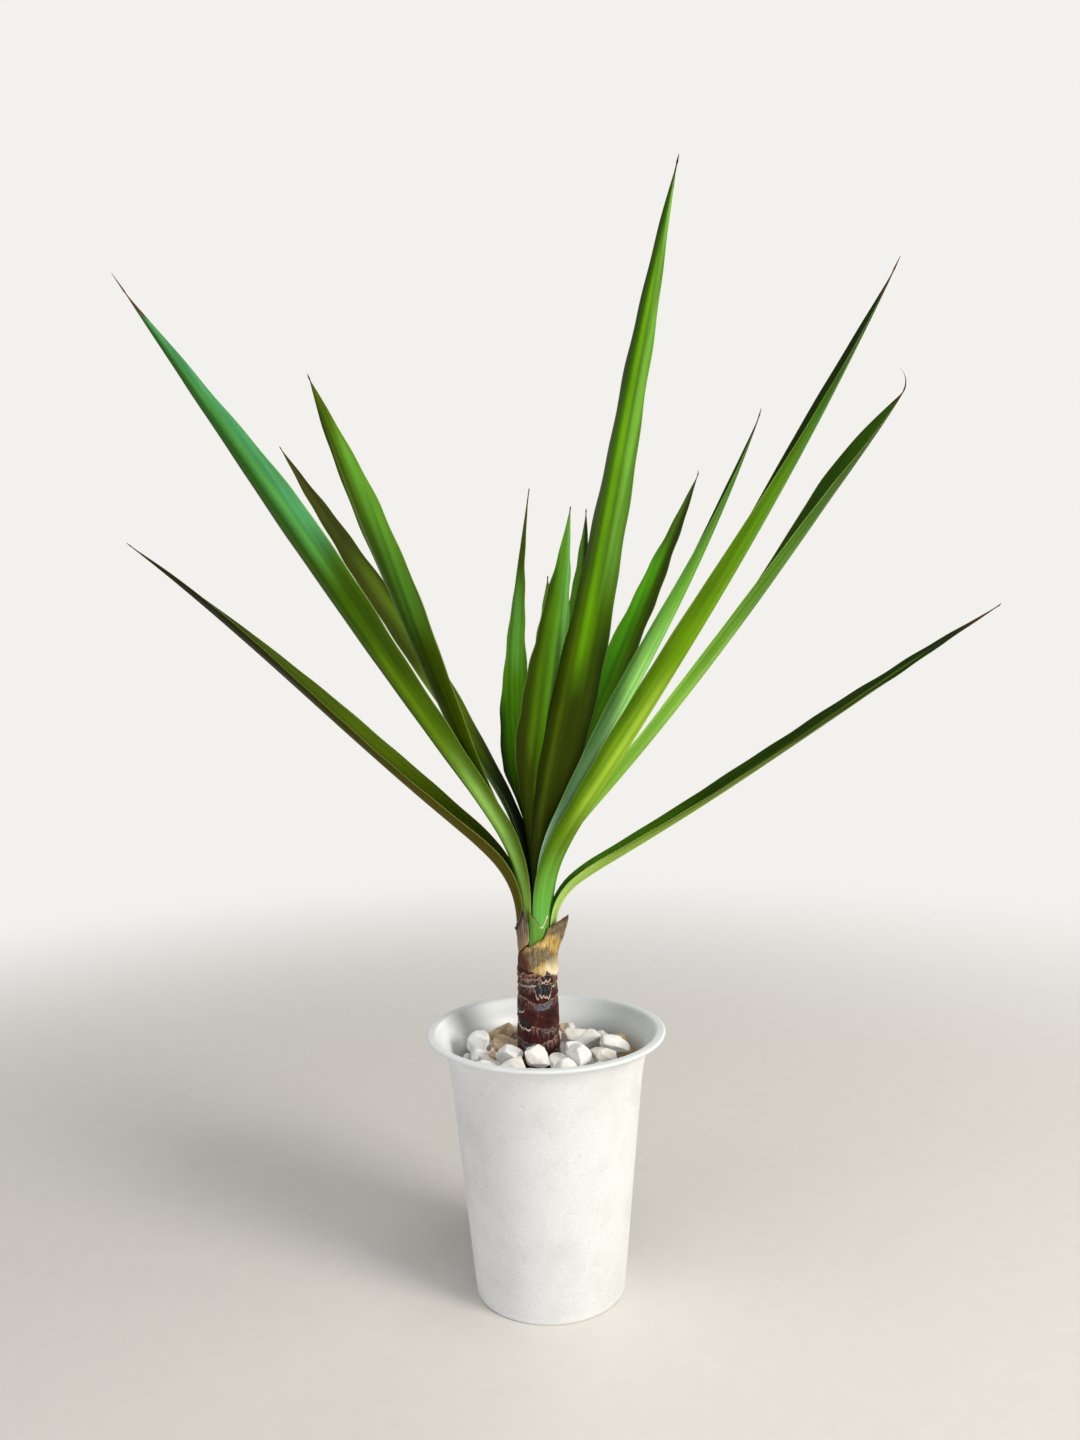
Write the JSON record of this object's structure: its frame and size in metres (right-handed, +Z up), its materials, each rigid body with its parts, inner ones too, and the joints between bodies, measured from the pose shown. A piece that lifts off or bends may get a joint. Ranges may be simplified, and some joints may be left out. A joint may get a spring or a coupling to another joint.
{
  "type": "potted yucca",
  "caption": "Potted yucca: a tall tapered white pot with a flat lip, filled with soil and white pebbles, holding a short woody cane with a crown of long sword-shaped leaves.",
  "frame": {"origin": "middle of the pot's flat bottom", "axes": "+Z up along the pot's axis, -Y towards the viewer's side, +X to the viewer's right"},
  "size_m": [0.6544, 0.3792, 0.7623],
  "materials": {
    "pot_white": "white, finely mottled, satin",
    "peat_soil": "dark, crumbly",
    "cane_bark": "maroon-brown bark with leaf scars",
    "dry_straw": "dry, straw-coloured",
    "dry_husk": "dry, brown",
    "base_green": "smooth, fresh green",
    "leaf_green": "leathery green, finely striated",
    "white_marble": "rough, white"
  },
  "bodies": {
    "root": {"pot": "pot_white", "soil": "peat_soil", "cane": "cane_bark", "dry_leaf_base_front": "dry_straw", "dry_leaf_base_left": "dry_husk", "green_leaf_base": "base_green", "leaf_01": "leaf_green", "leaf_02": "leaf_green", "leaf_03": "leaf_green", "leaf_04": "leaf_green", "leaf_05": "leaf_green", "leaf_06": "leaf_green", "leaf_07": "leaf_green", "leaf_08": "leaf_green", "leaf_09": "leaf_green", "leaf_10": "leaf_green", "leaf_11": "leaf_green", "leaf_12": "leaf_green", "leaf_13": "leaf_green", "leaf_14": "leaf_green", "pebble_01": "white_marble", "pebble_02": "white_marble", "pebble_03": "white_marble", "pebble_04": "white_marble", "pebble_05": "white_marble", "pebble_06": "white_marble", "pebble_07": "white_marble", "pebble_08": "white_marble", "pebble_09": "white_marble", "pebble_10": "white_marble", "pebble_11": "white_marble", "pebble_12": "white_marble", "pebble_13": "white_marble", "pebble_14": "white_marble", "pebble_15": "white_marble", "pebble_16": "white_marble", "pebble_17": "white_marble", "pebble_18": "white_marble", "pebble_19": "white_marble", "pebble_20": "white_marble", "pebble_21": "white_marble", "pebble_22": "white_marble", "pebble_23": "white_marble", "pebble_24": "white_marble", "pebble_25": "white_marble", "pebble_26": "white_marble", "pebble_27": "white_marble", "pebble_28": "white_marble", "pebble_29": "white_marble", "pebble_30": "white_marble", "pebble_31": "white_marble", "pebble_32": "white_marble", "pebble_33": "white_marble", "pebble_34": "white_marble", "pebble_35": "white_marble", "pebble_36": "white_marble", "pebble_37": "white_marble", "pebble_38": "white_marble"}
  },
  "joints": []
}
